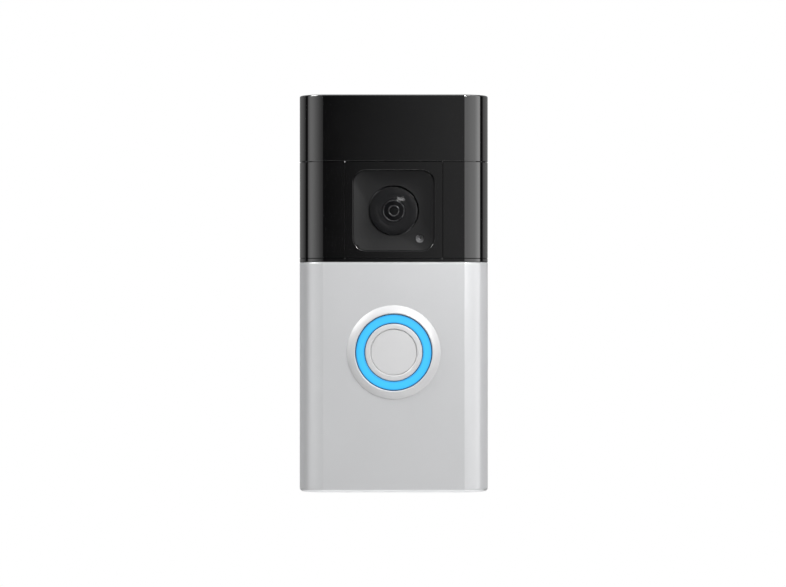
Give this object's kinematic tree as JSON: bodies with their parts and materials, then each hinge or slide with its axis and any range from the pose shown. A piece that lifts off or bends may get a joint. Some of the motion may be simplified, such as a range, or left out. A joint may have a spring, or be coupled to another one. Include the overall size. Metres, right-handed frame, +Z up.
{
  "type": "video doorbell",
  "caption": "Upright wall video doorbell with gloss black camera head, satin silver faceplate, round button in a blue light halo, and a slide-out battery.",
  "frame": {"origin": "centre of the flat rear face that lies on the wall, at mid-height and mid-width", "axes": "+Z up, front faces -Y, +X to the right seen from the front, +Y into the wall"},
  "size_m": [0.061, 0.028, 0.128],
  "materials": {
    "housing_black": "matte",
    "frame_black": "matte",
    "seal_rubber": null,
    "screw_steel": null,
    "cover_gloss_black": "polished",
    "recess_black": "satin",
    "lens_glass": null,
    "element_glass": null,
    "optics_black": "satin",
    "sensor_grey": "gloss",
    "board_green": "satin",
    "led_white": "satin",
    "can_metal": "satin",
    "pir_white": "satin",
    "contact_gold": "polished",
    "speaker_black": "satin",
    "magnet_metal": null,
    "connector_black": "satin",
    "halo_blue": "satin",
    "flex_amber": "satin",
    "button_silver": "satin",
    "tab_orange": "satin",
    "face_silver": "satin",
    "pack_black": "satin",
    "cell_wrap": "satin"
  },
  "bodies": {
    "housing": {"rear_housing": "housing_black", "front_frame": "frame_black", "main_seal": "seal_rubber", "chassis_screws": "screw_steel", "cover_screws": "screw_steel", "top_cover": "cover_gloss_black", "camera_surround": "cover_gloss_black", "camera_bezel": "recess_black", "lens_window": "lens_glass", "lens_barrel": "optics_black", "front_element": "element_glass", "rear_element": "element_glass", "lens_holder": "optics_black", "ir_filter": "element_glass", "image_sensor": "sensor_grey", "camera_board": "board_green", "ir_leds": "led_white", "microphone": "can_metal", "pir_sensor": "can_metal", "pir_lens": "pir_white", "main_board": "board_green", "shield_can": "can_metal", "wifi_module": "can_metal", "antenna": "contact_gold", "speaker_frame": "speaker_black", "speaker_cone": "speaker_black", "speaker_magnet": "magnet_metal", "battery_connector": "connector_black", "contact_pins": "contact_gold", "terminal_block": "connector_black", "terminal_plates": "contact_gold", "screw_insert": "contact_gold", "button_board": "board_green", "tact_switch": "can_metal", "button_leds": "led_white", "light_guide": "halo_blue", "button_seal": "seal_rubber", "flex_cable": "flex_amber", "setup_switch": "can_metal"},
    "call_button": {"button_cap": "button_silver", "button_disc": "button_silver"},
    "setup_key": {"setup_button": "tab_orange"},
    "faceplate": {"faceplate_upper": "cover_gloss_black", "faceplate_lower": "face_silver", "button_trim": "button_silver"},
    "battery_pack": {"battery_case": "pack_black", "battery_end_cap": "pack_black", "battery_cells": "cell_wrap", "cell_straps": "can_metal", "battery_board": "board_green", "battery_contacts": "contact_gold", "charge_port": "can_metal"},
    "pack_latch": {"battery_latch": "tab_orange"},
    "security_carrier": {"security_washer": "screw_steel"},
    "security_bolt": {"security_screw": "screw_steel"},
    "terminal_left_carrier": {"terminal_clamp_left": "screw_steel"},
    "terminal_left_bolt": {"terminal_screw_left": "screw_steel"},
    "terminal_right_carrier": {"terminal_clamp_right": "screw_steel"},
    "terminal_right_bolt": {"terminal_screw_right": "screw_steel"}
  },
  "joints": [
    {"name": "faceplate_open", "type": "hinge", "parent": "housing", "child": "faceplate", "pos_m": [0, -0.0266, 0.0424], "axis": [-1, 0, 0], "range_deg": [0, 35]},
    {"name": "battery_slide", "type": "slide", "parent": "housing", "child": "battery_pack", "axis": [0, 0, -1], "range_m": [0, 0.078]},
    {"name": "latch_press", "type": "hinge", "parent": "battery_pack", "child": "pack_latch", "pos_m": [0.0183, -0.0209, -0.051], "axis": [1, 0, 0], "range_deg": [0, 4], "stiffness_Nm_per_rad": 0.05},
    {"name": "button_press", "type": "slide", "parent": "housing", "child": "call_button", "axis": [0, 1, 0], "range_m": [0, 0.0007], "stiffness_N_per_m": 1500},
    {"name": "setup_press", "type": "slide", "parent": "housing", "child": "setup_key", "axis": [-1, 0, 0], "range_m": [0, 0.0005], "stiffness_N_per_m": 400},
    {"name": "security_travel", "type": "slide", "parent": "housing", "child": "security_carrier", "axis": [0, 0, -1], "range_m": [0, 0.002]},
    {"name": "security_turn", "type": "hinge", "parent": "security_carrier", "child": "security_bolt", "pos_m": [0, -0.0215, -0.0635], "axis": [0, 0, -1], "range_deg": [0, 1800]},
    {"name": "terminal_left_travel", "type": "slide", "parent": "housing", "child": "terminal_left_carrier", "axis": [0, 1, 0], "range_m": [0, 0.002]},
    {"name": "terminal_left_turn", "type": "hinge", "parent": "terminal_left_carrier", "child": "terminal_left_bolt", "pos_m": [-0.007, -0.001, 0.025], "axis": [0, 1, 0], "range_deg": [0, 1028.6]},
    {"name": "terminal_right_travel", "type": "slide", "parent": "housing", "child": "terminal_right_carrier", "axis": [0, 1, 0], "range_m": [0, 0.002]},
    {"name": "terminal_right_turn", "type": "hinge", "parent": "terminal_right_carrier", "child": "terminal_right_bolt", "pos_m": [0.007, -0.001, 0.025], "axis": [0, 1, 0], "range_deg": [0, 1028.6]}
  ],
  "couplings": [
    {"joint": "security_turn", "follows": "security_travel", "rad_per_m": 15708},
    {"joint": "terminal_left_turn", "follows": "terminal_left_travel", "rad_per_m": 8975.9},
    {"joint": "terminal_right_turn", "follows": "terminal_right_travel", "rad_per_m": 8975.9}
  ]
}
